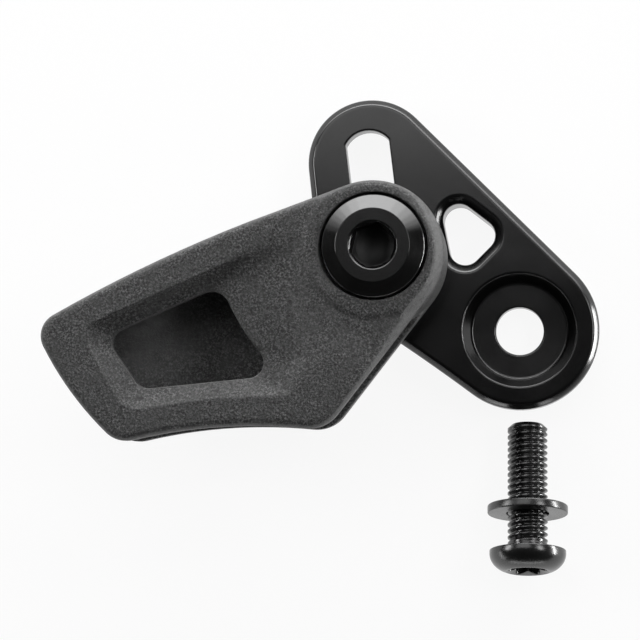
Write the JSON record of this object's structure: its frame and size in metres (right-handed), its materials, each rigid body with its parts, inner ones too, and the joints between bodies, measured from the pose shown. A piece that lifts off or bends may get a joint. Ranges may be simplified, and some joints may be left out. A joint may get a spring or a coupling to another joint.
{
  "type": "chainring guard",
  "caption": "Upper chain guide: a moulded plastic guide with two walls, held by a bolt in the slot of a flat metal backplate, with a loose frame screw and washer.",
  "frame": {"origin": "axis of the frame-screw hole where it meets the backplate's back face", "axes": "+Z along the frame-screw hole, outboard from the frame; +X forward on the bicycle; +Y up as mounted"},
  "size_m": [0.0681, 0.06, 0.02],
  "materials": {
    "anodised_black": "satin black anodised",
    "moulded_black": "fine moulded grain",
    "bolt_black": "gloss black",
    "nut_steel": "plain zinc",
    "screw_black": "black oxide",
    "washer_black": "black oxide"
  },
  "bodies": {
    "plate": {"backplate": "anodised_black", "frame_screw": "screw_black", "frame_washer": "washer_black"},
    "clamp": {"guide_bolt": "bolt_black", "slot_nut": "nut_steel"},
    "guide": {"chain_guide": "moulded_black"}
  },
  "joints": [
    {"name": "height_slide", "type": "slide", "parent": "plate", "child": "clamp", "axis": [-0.1184, 0.993, 0], "range_m": [-0.0018, 0.0129]},
    {"name": "guide_swivel", "type": "hinge", "parent": "clamp", "child": "guide", "pos_m": [-0.01733, 0.00955, 0.012], "axis": [0, 0, 1], "range_deg": [-15, 15]}
  ]
}
